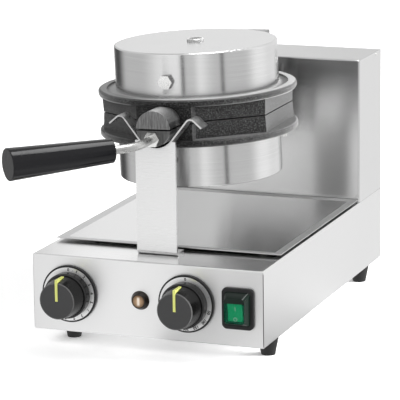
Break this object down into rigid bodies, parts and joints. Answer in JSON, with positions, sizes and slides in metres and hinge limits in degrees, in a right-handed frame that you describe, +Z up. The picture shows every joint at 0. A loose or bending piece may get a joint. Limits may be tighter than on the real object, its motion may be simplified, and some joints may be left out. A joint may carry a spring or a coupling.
{
  "type": "bubble waffle maker",
  "caption": "Countertop rotary bubble waffle maker with turning cast plates, drum heaters, a side handle, drip tray, timer and thermostat.",
  "frame": {"origin": "on the bench, under the middle of the base", "axes": "+X to the right seen from the controls, +Y to the back, +Z up"},
  "size_m": [0.251, 0.5343, 0.3016],
  "materials": {
    "brushed_stainless": "fine brushed sheet, satin",
    "coated_casting": "dark speckled non-stick coating, slightly rough",
    "black_phenolic": "moulded, glossy",
    "bright_steel": "bright plated",
    "bronze": "turned",
    "plated_steel": "dull zinc",
    "printed_aluminium": "satin with black print",
    "black_plastic": "fine grain",
    "yellow_green_plastic": "smooth",
    "amber_lens": "smooth, clear",
    "clear_boot": "soft, smoky clear",
    "green_rocker": "smooth",
    "black_rubber": "matt",
    "element_sheath": "dull oxidised",
    "mineral_felt": "fibrous"
  },
  "bodies": {
    "base": {"base_shell": "brushed_stainless", "bearing_bracket": "plated_steel", "bearing_bush": "bronze", "cradle_strip": "brushed_stainless", "floor_plate": "brushed_stainless", "floor_screws": "bright_steel", "foot_screws": "bright_steel", "front_post": "brushed_stainless", "inlet_gland": "black_plastic", "lamp_bezel": "black_plastic", "lamp_lens": "amber_lens", "post_screws": "bright_steel", "rear_panel": "brushed_stainless", "rear_panel_screws": "bright_steel", "rubber_feet": "black_rubber", "switch_boot": "clear_boot", "switch_housing": "black_plastic", "thermostat_body": "black_plastic", "thermostat_dial": "black_plastic", "thermostat_scale": "printed_aluminium", "timer_body": "black_plastic", "timer_dial": "black_plastic", "timer_scale": "printed_aluminium", "tower_rivets": "bright_steel", "tower_shell": "brushed_stainless"},
    "tray": {"drip_tray": "brushed_stainless"},
    "head": {"lower_plate": "coated_casting", "lower_drum": "brushed_stainless", "lower_heating_element": "element_sheath", "lower_clamp_disc": "plated_steel", "lower_insulation_felt": "mineral_felt", "lower_centre_stud": "bright_steel", "lower_centre_nut": "bright_steel", "lower_drum_bolt": "bright_steel", "lower_cable_guard": "brushed_stainless", "lower_earth_screw": "bright_steel", "hinge_pin": "bright_steel", "hollow_shaft": "bright_steel", "shaft_screws": "bright_steel", "shaft_collar": "bright_steel", "handle_rod": "bright_steel", "handle_lock_nut": "bright_steel", "handle_grip": "black_phenolic"},
    "lid": {"upper_plate": "coated_casting", "upper_drum": "brushed_stainless", "upper_heating_element": "element_sheath", "upper_clamp_disc": "plated_steel", "upper_insulation_felt": "mineral_felt", "upper_centre_stud": "bright_steel", "upper_centre_nut": "bright_steel", "upper_drum_bolt": "bright_steel", "upper_cable_guard": "brushed_stainless"},
    "timer_dial_knob": {"timer_knob": "black_phenolic", "timer_pointer": "yellow_green_plastic", "timer_spindle": "bright_steel"},
    "thermostat_dial_knob": {"thermostat_knob": "black_phenolic", "thermostat_pointer": "yellow_green_plastic", "thermostat_spindle": "bright_steel"},
    "rocker": {"switch_rocker": "green_rocker"}
  },
  "joints": [
    {"name": "tray_lift", "type": "slide", "parent": "base", "child": "tray", "axis": [0, 0, 1], "range_m": [0, 0.03]},
    {"name": "head_turn", "type": "hinge", "parent": "base", "child": "head", "pos_m": [0, -0.045, 0.2292], "axis": [0, -1, 0], "range_deg": [-184, 0]},
    {"name": "lid_open", "type": "hinge", "parent": "head", "child": "lid", "pos_m": [0, 0.096, 0.2292], "axis": [-0.9993, 0, -0.0366], "range_deg": [0, 55]},
    {"name": "timer_turn", "type": "hinge", "parent": "base", "child": "timer_dial_knob", "pos_m": [-0.084, -0.198, 0.0584], "axis": [0, 1, 0], "range_deg": [0, 300]},
    {"name": "thermostat_turn", "type": "hinge", "parent": "base", "child": "thermostat_dial_knob", "pos_m": [0.0435, -0.198, 0.0584], "axis": [0, 1, 0], "range_deg": [0, 270]},
    {"name": "switch_rock", "type": "hinge", "parent": "base", "child": "rocker", "pos_m": [0.0986, -0.197, 0.0577], "axis": [-1, 0, 0], "range_deg": [0, 14]}
  ]
}
